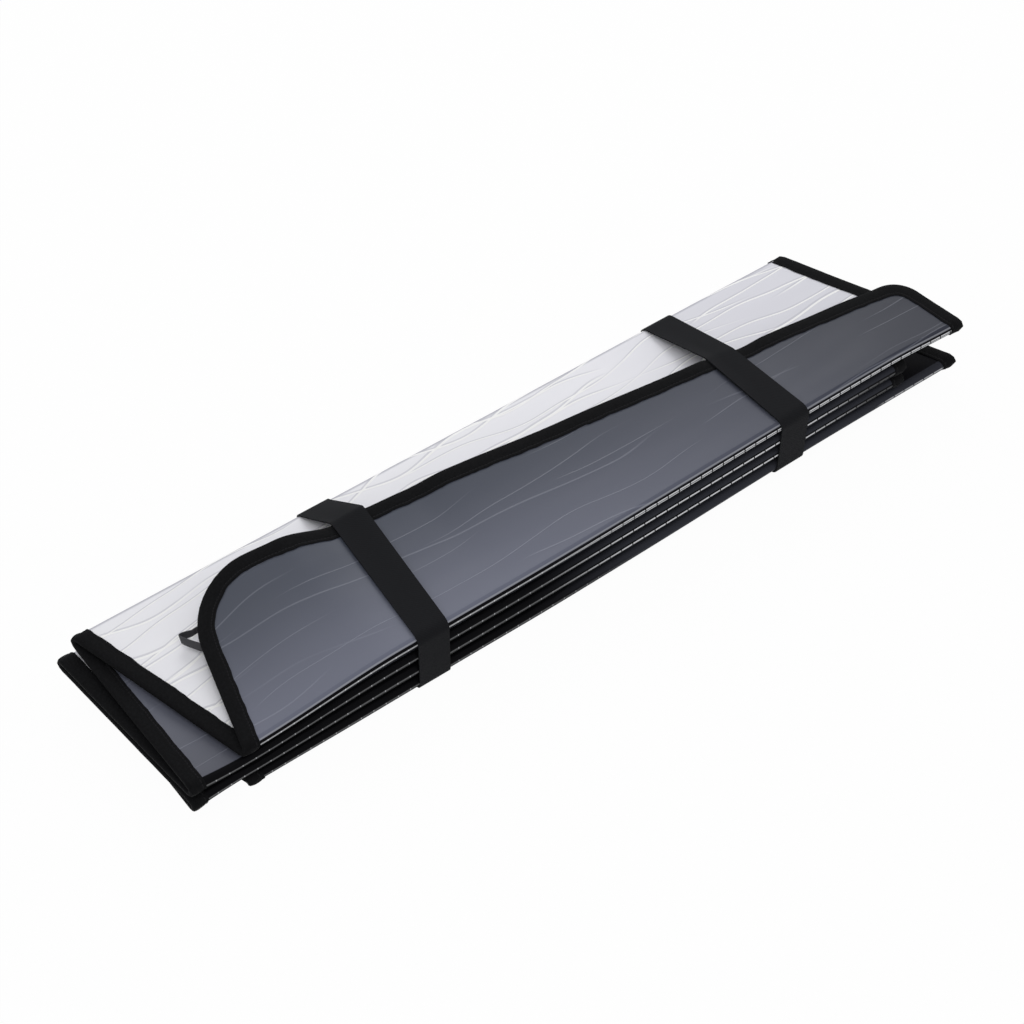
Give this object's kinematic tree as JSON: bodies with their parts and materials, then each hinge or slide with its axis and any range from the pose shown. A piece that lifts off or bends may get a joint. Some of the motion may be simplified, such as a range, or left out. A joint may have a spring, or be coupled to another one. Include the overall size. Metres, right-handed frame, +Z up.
{
  "type": "windscreen sunshade",
  "caption": "Foil and foam windscreen shade folded like a concertina, edges bound in black tape, held flat by elastic straps.",
  "frame": {"origin": "centre of the folded pack's box, at its underside", "axes": "+X along the folds from the shade's bottom edge to its top edge, +Y from the near folds to the far folds, +Z up through the pack with the first panel on top"},
  "size_m": [0.8252, 0.1772, 0.0915],
  "materials": {
    "shade_sheet": "satin dark film outside, silver foil on the other side",
    "edge_binding": "woven black tape",
    "strap_left": "woven black elastic",
    "strap_right": "woven black elastic",
    "hanging_loop": "dark grey ribbon"
  },
  "bodies": {
    "root": {"shade_sheet": "shade_sheet", "edge_binding": "edge_binding", "strap_left": "strap_left", "strap_right": "strap_right", "hanging_loop": "hanging_loop"}
  },
  "joints": []
}
